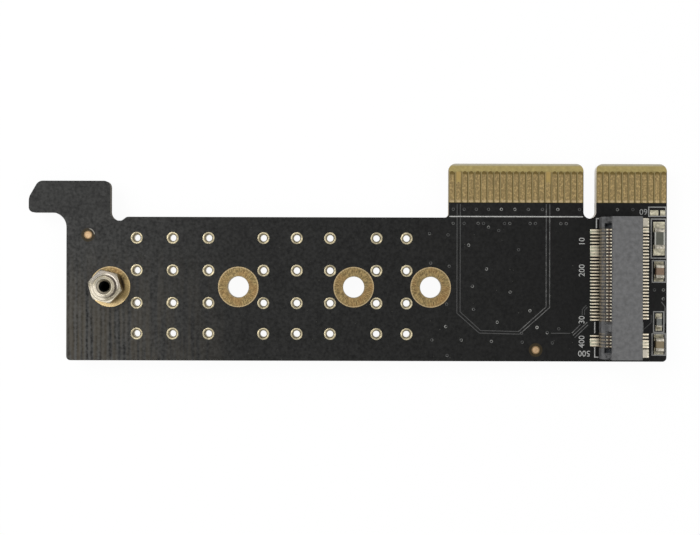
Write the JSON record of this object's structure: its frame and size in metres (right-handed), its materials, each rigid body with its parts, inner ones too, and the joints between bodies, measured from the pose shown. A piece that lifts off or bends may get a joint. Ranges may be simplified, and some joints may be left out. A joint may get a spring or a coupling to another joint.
{
  "type": "nvme adapter card",
  "caption": "Slim card with a keyed contact edge, a latch hook, a low socket for a storage module, fixing holes at the module lengths and a hex standoff.",
  "frame": {"origin": "middle of the outline, at the height of the lowest point, which is the end of the stud under the nut", "axes": "+Z out of the component side, +X along the card from the hook to the socket, +Y towards the contact edge"},
  "size_m": [0.0996, 0.0308, 0.008],
  "materials": {
    "board_coating": "black coating, satin",
    "contact_gold": "thin gold plating, satin",
    "socket_plastic": "moulded, matt",
    "spring_strip": "plated spring strip, bright",
    "tinned_tab": "tinned, satin",
    "solder": "solder, semi-bright",
    "nickel": "nickel plating, bright",
    "nut_steel": "plated steel, satin",
    "resistor_glaze": "dark glaze on pale ceramic",
    "capacitor_ceramic": "brown ceramic, satin",
    "print_white": "printed ink, matt"
  },
  "bodies": {
    "root": {"circuit_board": "board_coating", "edge_contacts_front": "contact_gold", "edge_contacts_back": "contact_gold", "fixing_pad_80": "contact_gold", "fixing_pad_60": "contact_gold", "fixing_pad_42": "contact_gold", "fixing_pad_30": "contact_gold", "plated_holes": "contact_gold", "alignment_marks": "contact_gold", "socket_housing": "socket_plastic", "socket_lower_contacts": "spring_strip", "socket_upper_contacts": "spring_strip", "socket_hold_down_upper": "tinned_tab", "socket_hold_down_lower": "tinned_tab", "socket_front_pads": "solder", "socket_rear_pads": "solder", "standoff": "nickel", "standoff_nut": "nut_steel", "link_body": "resistor_glaze", "link_terminals": "tinned_tab", "upper_capacitor_body": "capacitor_ceramic", "upper_capacitor_terminals": "tinned_tab", "resistor_body": "resistor_glaze", "resistor_terminals": "tinned_tab", "lower_capacitor_body": "capacitor_ceramic", "lower_capacitor_terminals": "tinned_tab", "chip_solder": "solder", "spare_pads": "solder", "printed_lines": "print_white"}
  },
  "joints": []
}
